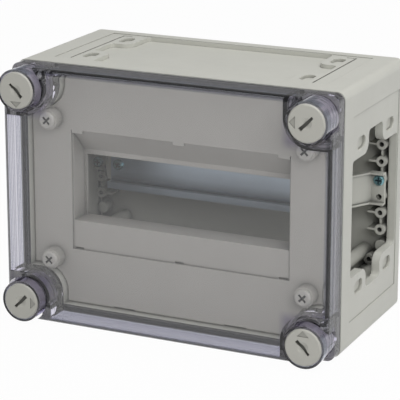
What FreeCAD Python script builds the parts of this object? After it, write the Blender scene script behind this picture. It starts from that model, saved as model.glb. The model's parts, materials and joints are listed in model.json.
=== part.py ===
import FreeCAD, Part
import math
import os
import re

import Sketcher

# DIN rail enclosure: a moulded base box with a clear lid on four quarter-turn latches, a screwed
# inner cover with a device window, and a top-hat rail on two offset brackets. Millimetres, +Z up.
# The box stands on its bottom wall. X runs along its width, the lid faces -Y and the back wall is
# at +Y. The origin is the middle of the lowest face of the bounding box.

os.makedirs("parts", exist_ok=True)
doc = FreeCAD.newDocument("rail_enclosure")
sheet = doc.addObject("Spreadsheet::Sheet", "Sizes")

SIZES = [
    # the whole box
    ("width", 250, "outside width"),
    ("height", 187.5, "outside height"),
    ("depth", 150, "back face to the faces of the latches"),
    ("base_depth", 118.5, "back face to the rim that carries the lid"),
    ("corner_round", 6, "radius of the four long edges"),
    ("back_bevel", 2, "bevel round the back face"),
    ("wall", 3.5, "outer wall of the base"),
    ("back_wall", 3, "back wall of the base"),
    # the rim and the corner towers behind the latches
    ("rim_width", 7.4, "outer face to the mouth of the box"),
    ("rim_thick", 8, "depth of the rim"),
    ("latch_x", 109.5, "latch axis from the middle of the width"),
    ("latch_z", 78, "latch axis from the middle of the height"),
    ("tower_reach", 18.5, "latch axis to the inner faces of its tower"),
    ("tower_plate", 4, "plate that the latch lugs grip"),
    ("tower_bore", 9, "radius of the hollow inside a tower"),
    ("tower_floor", 6, "floor of a tower at the back wall"),
    ("fixing_bore", 3, "radius of a wall fixing hole"),
    ("seal_inset", 1, "mouth to the seal groove"),
    ("seal_width", 3.4, "width of the seal groove"),
    ("seal_depth", 2.4, "depth of the seal groove"),
    ("seal_slack", 0.15, "seal to each side of its groove"),
    # the flange openings in the four side walls
    ("flange_pad", 3, "extra wall thickness round a flange opening"),
    ("flange_centre", 62, "rim to the middle of a flange opening"),
    ("flange_half", 45, "half the opening along the depth"),
    ("side_reach", 41.75, "half the opening along a short wall, between the ears"),
    ("long_reach", 74.2, "half the opening along a long wall, between the ears"),
    ("ear_length", 15.5, "length of an ear"),
    ("ear_gap", 14, "half the gap between two ears"),
    ("ear_round", 8, "free corner of an ear"),
    ("gap_round", 4, "corner of the gap between two ears"),
    ("field_round", 3, "outer corner of an opening"),
    ("pad_margin", 4, "thick wall beyond an opening"),
    ("oval_place", 28.5, "middle of an opening to a wedge pocket, along the depth"),
    ("oval_rise", 10, "ear root to a wedge pocket"),
    ("oval_half", 3.6, "half the straight part of a wedge pocket"),
    ("oval_radius", 4.4, "radius of a wedge pocket"),
    ("oval_depth", 2.6, "depth of a wedge pocket"),
    ("step_depth", 0.5, "depth of the shallow field round an opening"),
    ("step_side", 73.2, "half the shallow field on a short wall"),
    ("step_long", 104.5, "half the shallow field on a long wall"),
    ("step_margin", 1, "shallow field beyond the opening along the depth"),
    ("line_width", 1.2, "width of the grooves beside the long openings"),
    ("line_depth", 0.8, "depth of those grooves"),
    ("line_place", 93.3, "middle of the width to those grooves"),
    ("line_half", 42, "half their length"),
    ("line_return", 6.5, "short leg at the back of those grooves"),
    # the plates that close three of the openings
    ("plate_sunk", 3.5, "outer face of the box to a closing plate"),
    ("plate_slack", 0.3, "closing plate to the edge of its opening"),
    ("plate_flange", 1.6, "thickness of the inner flange of a closing plate"),
    ("plate_lap", 3, "overlap of that flange behind the wall"),
    ("plate_back", 34.5, "opening's middle to the back edge of that flange, clear of the brackets"),
    # the screw bosses beside the rail
    ("boss_x", 114.2, "screw bosses from the middle of the width"),
    ("boss_pitch", 12.85, "spacing of the screw bosses"),
    ("boss_radius", 4, "radius of a screw boss"),
    ("boss_bore", 1.8, "radius of the hole in a screw boss"),
    ("boss_face", 103.3, "rim to the faces of the screw bosses"),
    ("boss_deep", 9, "depth of the hole in a screw boss"),
    ("boss_count", 3, "screw bosses in each half of a chain"),
    ("post_radius", 4.3, "radius of the plain post at the end of a chain"),
    ("post_drop", 3, "faces of the bosses to the faces of those posts"),
    ("web", 1.6, "thickness of the webs"),
    ("fin_length", 5, "fin on the inner side of a boss"),
    ("low_boss_x", 106.4, "lone screw boss from the middle of the width"),
    ("low_boss_z", 55.75, "lone screw boss from the middle of the height"),
    # the pillars and screws of the inner cover
    ("pillar_x", 99, "cover screw from the middle of the width"),
    ("pillar_z", 52, "cover screw from the middle of the height"),
    ("pillar_radius", 5, "radius of a cover pillar"),
    ("pillar_bore", 2.5, "radius of the hole in a cover pillar"),
    ("pillar_deep", 20, "depth of that hole"),
    # the inner cover
    ("cover_sunk", 4.5, "rim to the front of the cover"),
    ("cover_thick", 2.5, "wall of the cover"),
    ("cover_skirt", 2, "thickness of the edge of the cover"),
    ("cover_back", 12, "rim to the back edge of the cover"),
    ("cover_gap", 1, "cover to the mouth of the box"),
    ("cover_bevel", 1, "bevel round the front of the cover"),
    ("screw_pad", 7.4, "radius of the raised pad under a cover screw"),
    ("screw_pad_rise", 8.5, "height of that pad"),
    ("screw_boss", 6, "radius of the boss behind a cover screw"),
    ("notch_width", 17, "width of a pry notch in the lower edge of the cover"),
    ("notch_place", 44, "pry notch from the middle of the width"),
    ("notch_depth", 1.2, "depth of a pry notch"),
    # the device window
    ("window_half", 82, "half the device window"),
    ("window_height", 46, "height of the device window"),
    ("tunnel_half", 84, "half the tunnel in front of the window"),
    ("tunnel_depth", 22, "rim to the window frame"),
    ("recess_half", 85, "half the recess round the tunnel"),
    ("recess_depth", 6, "rim to the label strip"),
    ("hood_top", 138.4, "upper edge of the sloping hood"),
    ("hood_lip", 3.5, "front lip above the window"),
    ("strip_drop", 21.7, "height of the label strip"),
    ("window_wall", 2.2, "wall thickness round the window"),
    ("tab_width", 8.6, "width of a tab at the upper edge of the hood"),
    ("tab_height", 2.4, "height of a tab"),
    ("tab_thick", 1.5, "thickness of a tab"),
    ("hook_width", 7, "width of a label hook"),
    ("hook_height", 1.4, "height of a label hook"),
    ("hook_place", 80, "outer label hooks and tabs from the middle"),
    # the rail
    ("rail_length", 184, "length of the rail"),
    ("rail_width", 35, "width of the rail over its lips"),
    ("rail_height", 7.5, "height of the rail section"),
    ("rail_inside", 25, "width of the channel in the rail"),
    ("rail_sheet", 1, "thickness of the rail"),
    ("rail_front", 72, "rim to the lips of the rail"),
    ("rail_screw_x", 85.5, "rail screw from the middle of the width"),
    ("rail_hole", 2.6, "radius of the hole for a rail screw"),
    # the brackets between rail and bosses
    ("bracket_height", 24, "height of a bracket"),
    ("bracket_thick", 3, "thickness of a bracket"),
    ("bracket_edge", 1.5, "thickness of the stiffening edges"),
    ("bracket_lip", 3, "height of the stiffening edges"),
    ("foot_inner", 108, "inner end of a bracket foot"),
    ("seat_outer", 96, "outer end of the rail seat"),
    ("seat_inner", 76, "inner end of the rail seat"),
    ("bracket_hole", 2.1, "radius of the foot holes"),
    ("seat_hole", 1.6, "radius of the rail screw's hole in a bracket"),
    # the lid
    ("lid_inset", 0.5, "outer face of the box to the lid"),
    ("lid_height", 25, "rim to the front of the lid"),
    ("lid_wall", 3, "side walls of the lid"),
    ("lid_front", 3, "front wall of the lid"),
    ("lid_edge", 4.5, "radius round the front of the lid"),
    ("lid_foot", 4, "height of the thick foot of the lid"),
    ("corner_height", 10, "height of the lid's corner blocks under the knobs"),
    ("corner_clear", 17, "radius of the notch round a latch"),
    ("corner_reach", 20, "latch axis to the hollow of the lid"),
    ("collar_radius", 15.2, "outer radius of a latch collar"),
    ("collar_bore", 13.6, "bore of a latch collar"),
    ("collar_height", 30.5, "rim to the front of a collar"),
    # the latches
    ("knob_radius", 13.25, "radius of a latch knob"),
    ("knob_bevel", 0.7, "bevel round the knob's face"),
    ("knob_lift", 0.3, "knob to the lid's corner block"),
    ("stem_radius", 4.5, "radius of a latch stem"),
    ("stem_slack", 0.3, "stem to the lid's bore"),
    ("lug_reach", 7.6, "latch axis to the end of a lug"),
    ("lug_width", 4, "width of a lug"),
    ("lug_thick", 4, "thickness of a lug"),
    ("lug_slack", 0.4, "lug to the tower plate"),
    ("key_slack", 0.5, "latch to the keyhole in the tower"),
    ("slot_half", 5.6, "half the screwdriver slot"),
    ("slot_width", 1.7, "width of the screwdriver slot"),
    ("slot_depth", 2.0, "depth of the screwdriver slot"),
    ("dimple_radius", 7, "radius of the ball that shapes the dimple"),
    ("dimple_depth", 1.3, "depth of the dimple"),
    ("arrow_place", 9.2, "latch axis to the arrow"),
    ("arrow_half", 2.2, "half the base of the arrow"),
    ("arrow_length", 2.6, "length of the arrow"),
    ("arrow_depth", 0.4, "depth of the arrow"),
    # the screws
    ("cover_head", 6, "head radius of a cover screw"),
    ("cover_head_thick", 2.6, "head thickness of a cover screw"),
    ("cover_shank", 2.2, "shank radius of a cover screw"),
    ("cover_shank_long", 26, "shank length of a cover screw"),
    ("small_head", 4, "head radius of a bracket or rail screw"),
    ("small_head_thick", 2.6, "head thickness of a bracket or rail screw"),
    ("small_shank", 1.5, "shank radius of a bracket or rail screw"),
    ("small_shank_long", 9, "shank length of a bracket or rail screw"),
    ("head_bevel", 0.9, "bevel round a screw head"),
    ("cross_deep", 1.5, "depth of a cross recess"),
    ("cross_arm", 0.58, "reach of a cross recess as a share of the head's radius"),
    ("cross_half", 0.13, "half the width of its arms as such a share"),
]

for row, (alias, value, note) in enumerate(SIZES, start=1):
    sheet.set(f"A{row}", note)
    sheet.set(f"B{row}", str(value))
    sheet.setAlias(f"B{row}", alias)
doc.recompute()

ALIASES = re.compile(r"\b(" + "|".join(alias for alias, _, _ in SIZES) + r")\b")
V = FreeCAD.Vector
TINY = 1e-6
NEAR = 0.01


# Expressions are written with the bare names of the sheet's cells


def linked(text):
    """The expression as other objects write it, with the sheet's name before each cell."""
    return ALIASES.sub(r"Sizes.\1", text)


def number(text):
    """The value of an expression in the sheet's cells."""
    return float(sheet.evalExpression(text))


def times(sign, text):
    """The expression, or its negative."""
    return f"({text})" if sign > 0 else f"-({text})"


# Places used by several pieces. RIM is the plane on which the lid stands
RIM = "(depth / 2 - base_depth)"
BACK = "(depth / 2)"
MIDDLE = "(height / 2)"
INNER_BACK = "(depth / 2 - back_wall)"
FLANGE_Y = f"({RIM} + flange_centre)"
COVER_FRONT = f"({RIM} + cover_sunk)"
COVER_INSIDE = f"({RIM} + cover_sunk + cover_thick)"
COVER_EDGE = f"({RIM} + cover_back)"
WINDOW_LOW = f"({MIDDLE} - window_height / 2)"
WINDOW_HIGH = f"({MIDDLE} + window_height / 2)"
RAIL_BACK = f"({RIM} + rail_front + rail_height)"
BOSS_FACE = f"({RIM} + boss_face)"
ZERO = "0"
CORNERS = ((-1, 1), (1, 1), (-1, -1), (1, -1))
# The quadrants that an outline runs through, in order
ROUND = ((1, 1), (-1, 1), (-1, -1), (1, -1))
HALF = ((1, -1), (1, 1))
QUARTER = ((1, 1),)


# Sketch shapes. Each function returns another one that draws the shape into a sketch


def tie(sketch, kind, geometry, point, text):
    """A signed distance from the sketch's origin to a point, bound to an expression."""
    value = number(text)
    index = sketch.addConstraint(Sketcher.Constraint(kind, -1, 1, geometry, point, value))
    sketch.setExpression(f"Constraints[{index}]", linked(text))


def tie_radius(sketch, geometry, text):
    index = sketch.addConstraint(Sketcher.Constraint("Radius", geometry, number(text)))
    sketch.setExpression(f"Constraints[{index}]", linked(text))


def circle(x, y, radius):
    def draw(sketch):
        ring = Part.Circle(V(number(x), number(y), 0), V(0, 0, 1), number(radius))
        geometry = sketch.addGeometry(ring)
        tie_radius(sketch, geometry, radius)
        tie(sketch, "DistanceX", geometry, 3, x)
        tie(sketch, "DistanceY", geometry, 3, y)

    return draw


def slot(x, y, half, radius, upright):
    """A rounded slot whose two end centres lie half to each side of its middle."""
    ends = []
    for sign in (1, -1):
        shift = times(sign, half)
        ends.append((x, f"({y}) + {shift}") if upright else (f"({x}) + {shift}", y))
    turn = math.pi / 2 if upright else 0

    def draw(sketch):
        size = number(radius)
        arcs = []
        for (cx, cy), start in zip(ends, (-math.pi / 2, math.pi / 2)):
            ring = Part.Circle(V(number(cx), number(cy), 0), V(0, 0, 1), size)
            arc = Part.ArcOfCircle(ring, start + turn, start + turn + math.pi)
            arcs.append(sketch.addGeometry(arc))
        first, second = arcs
        lines = []
        for one, other in ((first, second), (second, first)):
            line = Part.LineSegment(sketch.getPoint(one, 2), sketch.getPoint(other, 1))
            lines.append(sketch.addGeometry(line))
        joints = ((first, 2, lines[0], 1), (lines[0], 2, second, 1))
        joints += ((second, 2, lines[1], 1), (lines[1], 2, first, 1))
        for joint in joints:
            sketch.addConstraint(Sketcher.Constraint("Tangent", *joint))
        tie_radius(sketch, first, radius)
        for geometry, (cx, cy) in zip(arcs, ends):
            tie(sketch, "DistanceX", geometry, 3, cx)
            tie(sketch, "DistanceY", geometry, 3, cy)

    return draw


def outline(corners):
    """A closed loop of straight lines. A corner is (x, y) or (x, y, radius), as expressions."""
    corners = [tuple(c) + (None,) * (3 - len(c)) for c in corners]
    count = len(corners)

    def draw(sketch):
        places = [V(number(x), number(y), 0) for x, y, _ in corners]
        steps = [(places[(i + 1) % count] - places[i]).normalize() for i in range(count)]
        enters, leaves, arcs = list(places), list(places), {}
        for i, (x, y, radius) in enumerate(corners):
            if radius is None:
                continue
            before, after = steps[i - 1], steps[i]
            turn = before.cross(after).z
            size = number(radius)
            trim = size * math.tan(before.getAngle(after) / 2)
            enters[i] = places[i] - before * trim
            leaves[i] = places[i] + after * trim
            side = V(-before.y, before.x, 0) * (1 if turn > 0 else -1)
            centre = enters[i] + side * size
            start, end = (enters[i], leaves[i]) if turn > 0 else (leaves[i], enters[i])
            angles = [math.atan2(p.y - centre.y, p.x - centre.x) for p in (start, end)]
            arcs[i] = (Part.Circle(centre, V(0, 0, 1), size), angles, turn > 0)
        lines = []
        for i in range(count):
            line = Part.LineSegment(leaves[i], enters[(i + 1) % count])
            lines.append(sketch.addGeometry(line))
        upright = [corners[i][0] == corners[(i + 1) % count][0] for i in range(count)]
        level = [corners[i][1] == corners[(i + 1) % count][1] for i in range(count)]
        for i in range(count):
            if upright[i]:
                sketch.addConstraint(Sketcher.Constraint("Vertical", lines[i]))
                tie(sketch, "DistanceX", lines[i], 1, corners[i][0])
            elif level[i]:
                sketch.addConstraint(Sketcher.Constraint("Horizontal", lines[i]))
                tie(sketch, "DistanceY", lines[i], 1, corners[i][1])
        for i, (x, y, radius) in enumerate(corners):
            before, after = lines[i - 1], lines[i]
            if radius is None:
                sketch.addConstraint(Sketcher.Constraint("Coincident", before, 2, after, 1))
                if not (upright[i - 1] or upright[i]):
                    tie(sketch, "DistanceX", after, 1, x)
                if not (level[i - 1] or level[i]):
                    tie(sketch, "DistanceY", after, 1, y)
                continue
            ring, angles, left_turn = arcs[i]
            arc = sketch.addGeometry(Part.ArcOfCircle(ring, *angles))
            first, last = (1, 2) if left_turn else (2, 1)
            sketch.addConstraint(Sketcher.Constraint("Tangent", before, 2, arc, first))
            sketch.addConstraint(Sketcher.Constraint("Tangent", arc, last, after, 1))
            tie_radius(sketch, arc, radius)

    return draw


def rectangle(left, right, low, high, radius=None):
    spots = ((left, low), (right, low), (right, high), (left, high))
    return outline([(x, y, radius) for x, y in spots])


def around(path, quadrants, across, up, swap=False):
    """A path given in the first quadrant, mirrored into others and joined in one sense."""
    spots = []
    for sx, sy in quadrants:
        for x, y, radius in path if sx * sy > 0 else path[::-1]:
            spot = (f"({across}) + {times(sx, x)}", f"({up}) + {times(sy, y)}")
            spots.append((*(spot[::-1] if swap else spot), radius))
    return spots


def notch_path(offset, reach="tower_reach", half_x=None, half_z=None):
    """A quarter of the mouth of the box, grown by offset, with an arc round the latch."""
    wide = half_x or f"width / 2 - rim_width + ({offset})"
    tall = half_z or f"height / 2 - rim_width + ({offset})"
    shoulder_x = f"latch_x - ({reach}) + ({offset})"
    shoulder_z = f"latch_z - ({reach}) + ({offset})"
    radius = f"({reach}) - ({offset})"
    return [(wide, shoulder_z, None), (shoulder_x, shoulder_z, radius), (shoulder_x, tall, None)]


def notched(*sizes):
    """The mouth of the box: a rectangle less four corners round the latches."""
    return outline(around(notch_path(*sizes), ROUND, ZERO, MIDDLE))


def notched_quarter(*sizes):
    """The mouth of the box in the quarter that is to the right and up."""
    (wide, *_), *_, (_, tall, _) = path = notch_path(*sizes)
    path = [(ZERO, ZERO, None), (wide, ZERO, None), *path, (ZERO, tall, None)]
    return outline(around(path, QUARTER, ZERO, MIDDLE))


def groove_quarter(inner, outer):
    """The band between two offsets of the mouth, in the same quarter."""
    loops = []
    for offset in (inner, outer):
        (wide, *_), *_, (_, tall, _) = path = notch_path(offset)
        loops.append([(wide, ZERO, None), *path, (ZERO, tall, None)])
    return outline(around(loops[0] + loops[1][::-1], QUARTER, ZERO, MIDDLE))


def lobe_path(reach, shrink):
    """A quarter of a flange opening: half an end gap, an ear, and half the field."""
    wide, gap = f"({reach}) - ({shrink})", f"({reach}) + ear_length - ({shrink})"
    field, narrow = f"flange_half - ({shrink})", f"ear_gap - ({shrink})"
    ear, root = f"ear_round + ({shrink})", f"gap_round - ({shrink})"
    return [(gap, narrow, root), (wide, narrow, ear), (wide, field, "field_round")]


def lobed(middle, reach, shrink, swap):
    """A whole flange opening, its long side along the width, or upright where swapped."""
    return outline(around(lobe_path(reach, shrink), ROUND, middle, FLANGE_Y, swap))


def lobed_half(middle, reach, swap):
    """The half of a flange opening on one side of a plane of symmetry."""
    path = lobe_path(reach, ZERO)
    path.append((ZERO, path[-1][1], None))
    return outline(around(path, HALF, middle, FLANGE_Y, swap))


# Features. Each one grows or cuts between two planes, given along the normal of its sketch


def new_body(label):
    body = doc.addObject("PartDesign::Body", label)
    body.Label = label
    return body


def volume(body):
    return body.Shape.Volume if not body.Shape.isNull() else 0.0


def sketch_at(body, name, role, place):
    """A sketch on one of the body's own origin planes, moved along its world axis."""
    sketch = body.newObject("Sketcher::SketchObject", name)
    plane = [f for f in body.Origin.OriginFeatures if f.Role == role][0]
    sketch.AttachmentSupport = [(plane, "")]
    sketch.MapMode = "FlatFace"
    sign = "-" if role == "XZ_Plane" else ""
    sketch.setExpression(".AttachmentOffset.Base.z", f"{sign}({linked(place)})")
    return sketch


def feature(body, kind, name, role, low, high, shapes):
    """A pad or a pocket of the shapes, from low to high along the world axis of the plane."""
    sketch = sketch_at(body, f"{name}_sketch", role, low)
    for draw in shapes:
        draw(sketch)
    doc.recompute()
    before = volume(body)
    made = body.newObject(f"PartDesign::{kind}", name)
    made.Profile = sketch
    made.setExpression("Length", linked(f"({high}) - ({low})"))
    faces_down = role == "XZ_Plane"
    made.Reversed = faces_down if kind == "Pad" else not faces_down
    body.Tip = made
    doc.recompute()
    change = volume(body) - before
    if (change < TINY) if kind == "Pad" else (change > -TINY):
        raise RuntimeError(f"{body.Label}: {name} changed the volume by {change:.3f}")
    return made


def pad(body, name, role, low, high, *shapes):
    return feature(body, "Pad", name, role, low, high, shapes)


def pocket(body, name, role, low, high, *shapes):
    return feature(body, "Pocket", name, role, low, high, shapes)


def edged(body, kind, name, size, wanted):
    """A fillet or chamfer on every edge for which wanted(edge) is true."""
    base = body.Tip
    names = [f"Edge{i}" for i, edge in enumerate(base.Shape.Edges, start=1) if wanted(edge)]
    made = body.newObject(f"PartDesign::{kind}", name)
    made.Base = (base, names)
    made.setExpression("Radius" if kind == "Fillet" else "Size", linked(size))
    body.Tip = made
    doc.recompute()
    return made


def lies_in(axis, place):
    """A test for edges that lie in the plane at that place along the axis."""
    value = number(place)

    def wanted(edge):
        box = edge.BoundBox
        low, high = (getattr(box, axis + end) for end in ("Min", "Max"))
        return abs(low - value) < NEAR and abs(high - value) < NEAR

    return wanted


def doubled(source, name, normal, base=None):
    """The source fused with its mirror image."""
    image = doc.addObject("Part::Mirroring", f"{name}_image")
    image.Source = source
    image.Normal = normal
    if base:
        image.setExpression(".Base.z", linked(base))
    joined = doc.addObject("Part::Fuse", name)
    joined.Base = source
    joined.Tool = image
    joined.Refine = True
    joined.Label = name
    doc.recompute()
    return joined


# The base box is one moulding with two planes of symmetry. One quarter of it is modelled, to the
# right and up, then mirrored twice


def quarter_wall(body, name, plane, face, reach, step):
    """Half a flange opening in one wall, with its thick pad, its ears and their wedge pockets."""
    upright = plane == "YZ_Plane"
    middle = MIDDLE if upright else ZERO

    def box(half_long, half_deep):
        u = (middle, f"({middle}) + ({half_long})")
        v = (f"{FLANGE_Y} - ({half_deep})", f"{FLANGE_Y} + ({half_deep})")
        return rectangle(*v, *u) if upright else rectangle(*u, *v)

    inside = f"({face}) - wall - flange_pad"
    thick = box(f"({reach}) + ear_length + pad_margin", "flange_half + pad_margin")
    pad(body, f"{name}_pad", plane, inside, f"({face}) - wall / 2", thick)
    field = box(step, "flange_half + step_margin")
    pocket(body, f"{name}_field", plane, f"({face}) - step_depth", face, field)
    pocket(body, f"{name}_opening", plane, inside, face, lobed_half(middle, reach, upright))
    ovals = []
    for across in (-1, 1):
        u = f"({middle}) + ({reach}) + oval_rise"
        v = f"{FLANGE_Y} + {times(across, 'oval_place')}"
        spot = (v, u) if upright else (u, v)
        ovals.append(slot(*spot, "oval_half", "oval_radius", not upright))
    pocket(body, f"{name}_wedge_pockets", plane, f"({face}) - oval_depth", face, *ovals)


def boss_places():
    """The screw bosses of the quarter: those of the chain, the post that ends it, a lone one."""
    steps = [f"{i} + 1 / 2" for i in range(int(number("boss_count")) + 1)]
    chain = [("boss_x", f"{MIDDLE} + ({step}) * boss_pitch") for step in steps]
    return chain[:-1], chain[-1], ("low_boss_x", f"{MIDDLE} + low_boss_z")


def quarter_bosses(body):
    chain, (post_x, post_z), lone = boss_places()
    root = f"{INNER_BACK} + back_wall / 2"
    rounds = [circle(x, z, "boss_radius") for x, z in (*chain, lone)]
    pad(body, "bosses", "XZ_Plane", BOSS_FACE, root, *rounds)
    post = circle(post_x, post_z, "post_radius")
    pad(body, "end_post", "XZ_Plane", f"{BOSS_FACE} + post_drop", root, post)
    fins = []
    for x, z in (*chain, lone):
        middle = f"{x} - (boss_radius + fin_length) / 2"
        fins.append(slot(middle, z, "(boss_radius + fin_length) / 2", "web / 2", False))
    pad(body, "boss_fins", "XZ_Plane", BOSS_FACE, root, *fins)
    spine = rectangle("boss_x - web / 2", "boss_x + web / 2", MIDDLE, post_z)
    pad(body, "boss_web", "XZ_Plane", f"{BOSS_FACE} + web", root, spine)
    bores = [circle(x, z, "boss_bore") for x, z in (*chain, lone)]
    pocket(body, "boss_holes", "XZ_Plane", BOSS_FACE, f"{BOSS_FACE} + boss_deep", *bores)


def quarter_pillar(body):
    """The pillar that takes a cover screw, with a rib to the corner tower."""
    root = f"{INNER_BACK} + back_wall / 2"
    x, z = "pillar_x", f"{MIDDLE} + pillar_z"
    pad(body, "cover_pillar", "XZ_Plane", COVER_EDGE, root, circle(x, z, "pillar_radius"))
    rib = rectangle(f"{x} - web", f"{x} + web", z, f"{MIDDLE} + latch_z - tower_reach + web")
    pad(body, "pillar_rib", "XZ_Plane", f"{COVER_EDGE} + pillar_radius", root, rib)
    bore = circle(x, z, "pillar_bore")
    pocket(body, "pillar_bore_hole", "XZ_Plane", COVER_EDGE, f"{COVER_EDGE} + pillar_deep", bore)


def quarter_tower(body):
    """The keyhole, hollow and wall fixing hole of the corner tower."""
    x, z = "latch_x", f"{MIDDLE} + latch_z"
    plate_back, floor = f"{RIM} + tower_plate", f"{BACK} - tower_floor"
    pocket(body, "tower_hollow", "XZ_Plane", plate_back, floor, circle(x, z, "tower_bore"))
    pocket(body, "fixing_hole", "XZ_Plane", floor, BACK, circle(x, z, "fixing_bore"))
    stem = circle(x, z, "stem_radius + key_slack")
    pocket(body, "stem_hole", "XZ_Plane", RIM, plate_back, stem)
    key = slanted(x, z, "lug_reach + key_slack", "lug_width / 2 + key_slack", 1)
    pocket(body, "keyhole", "XZ_Plane", RIM, plate_back, key)


def make_base():
    body = new_body("box_quarter")
    right = "width / 2"
    corners = [(ZERO, MIDDLE), (right, MIDDLE), (right, "height", "corner_round"), (ZERO, "height")]
    pad(body, "block", "XZ_Plane", RIM, BACK, outline(corners))
    at_back, at_middle, at_side = lies_in("Y", BACK), lies_in("Z", MIDDLE), lies_in("X", ZERO)
    edged(
        body,
        "Chamfer",
        "back_edge",
        "back_bevel",
        lambda edge: at_back(edge) and not (at_middle(edge) or at_side(edge)),
    )
    rim_back = f"{RIM} + rim_thick"
    pocket(body, "mouth", "XZ_Plane", RIM, rim_back, notched_quarter(ZERO))
    inside = notched_quarter(ZERO, "tower_reach", "width / 2 - wall", "height / 2 - wall")
    pocket(body, "hollow", "XZ_Plane", rim_back, INNER_BACK, inside)
    groove = groove_quarter("seal_inset", "seal_inset + seal_width")
    pocket(body, "seal_groove", "XZ_Plane", RIM, f"{RIM} + seal_depth", groove)
    quarter_wall(body, "side", "YZ_Plane", "width / 2", "side_reach", "step_side")
    quarter_wall(body, "top", "XY_Plane", "height", "long_reach", "step_long")
    near, far = "line_place - line_width / 2", "line_place + line_width / 2"
    front, end = f"{FLANGE_Y} - line_half", f"{FLANGE_Y} + line_half"
    leg = f"({near}) - line_return"
    turn = f"({end}) - line_width"
    line = outline([(near, front), (far, front), (far, end), (leg, end), (leg, turn), (near, turn)])
    pocket(body, "top_line", "XY_Plane", "height - line_depth - step_depth", "height", line)
    quarter_bosses(body)
    quarter_pillar(body)
    quarter_tower(body)
    side = doubled(body, "box_side", V(1, 0, 0))
    return doubled(side, "base_box", V(0, 0, 1), MIDDLE)


def slanted(x, y, half_long, half_wide, slope):
    """A rectangle turned by 45 degrees about its middle, rising to the right if slope > 0."""
    share = "sqrt(2) / 2"
    spots = []
    for a, b in ((-1, -1), (1, -1), (1, 1), (-1, 1)):
        along, across = times(a, half_long), times(b, half_wide)
        dx = f"({along} - {times(slope, across)}) * {share}"
        dy = f"({times(slope, along)} + {across}) * {share}"
        spots.append((f"({x}) + {dx}", f"({y}) + {dy}"))
    return outline(spots)


# The closing plates, which lie in three of the openings and seat on the wall from inside


def make_plate(label, plane, face, sign, reach):
    body = new_body(label)
    upright = plane == "YZ_Plane"
    middle = MIDDLE if upright else ZERO

    def between(near, far):
        """The span from near to far below the outer face, from the lower value up."""
        ends = (f"({face}) - {times(sign, near)}", f"({face}) - {times(sign, far)}")
        return ends if sign < 0 else ends[::-1]

    inside = "wall + flange_pad"
    panel = lobed(middle, reach, "plate_slack", upright)
    pad(body, "panel", plane, *between("plate_sunk", inside), panel)
    u = (f"({middle}) - ({reach}) - plate_lap", f"({middle}) + ({reach}) + plate_lap")
    v = (f"{FLANGE_Y} - flange_half - plate_lap", f"{FLANGE_Y} + plate_back")
    flange = rectangle(*v, *u) if upright else rectangle(*u, *v)
    pad(body, "flange", plane, *between(inside, f"{inside} + plate_flange"), flange)
    return body


# The lid, the seal, the inner cover


def make_lid():
    body = new_body("lid")
    half_x, low, high = "width / 2 - lid_inset", "lid_inset", "height - lid_inset"
    front = f"{RIM} - lid_height"
    block = rectangle(f"-({half_x})", half_x, low, high, "corner_round")
    pad(body, "block", "XZ_Plane", front, RIM, block)
    edged(body, "Fillet", "front_edge", "lid_edge", lies_in("Y", front))
    circles, corners, collars, bores = [], [], [], []
    for sx, sz in CORNERS:
        x, z = times(sx, "latch_x"), f"{MIDDLE} + {times(sz, 'latch_z')}"
        circles.append(circle(x, z, "corner_clear"))
        across = (x, f"{times(sx, 'width / 2')}") if sx > 0 else (f"{times(sx, 'width / 2')}", x)
        up = (z, "height") if sz > 0 else (ZERO, z)
        corners.append(rectangle(*across, *up))
        collars += [circle(x, z, "collar_radius"), circle(x, z, "collar_bore")]
        bores.append(circle(x, z, "stem_radius + stem_slack"))
    shelf = f"{RIM} - corner_height"
    pocket(body, "corner_rounds", "XZ_Plane", front, shelf, *circles)
    pocket(body, "corner_squares", "XZ_Plane", front, shelf, *corners)
    hollow = notched(
        ZERO,
        "corner_reach",
        "width / 2 - lid_inset - lid_wall",
        "height / 2 - lid_inset - lid_wall",
    )
    foot = f"{RIM} - lid_foot"
    pocket(body, "hollow", "XZ_Plane", f"{front} + lid_front", foot, hollow)
    pocket(body, "mouth", "XZ_Plane", foot, RIM, notched(ZERO))
    pad(body, "collars", "XZ_Plane", f"{RIM} - collar_height", f"{shelf} + lid_wall", *collars)
    pocket(body, "stem_holes", "XZ_Plane", shelf, RIM, *bores)
    return body


def make_seal():
    body = new_body("lid_seal")
    inner, outer = "seal_inset + seal_slack", "seal_inset + seal_width - seal_slack"
    loops = [notched(offset) for offset in (outer, inner)]
    pad(body, "ring", "XZ_Plane", RIM, f"{RIM} + seal_depth", *loops)
    return body


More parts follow.
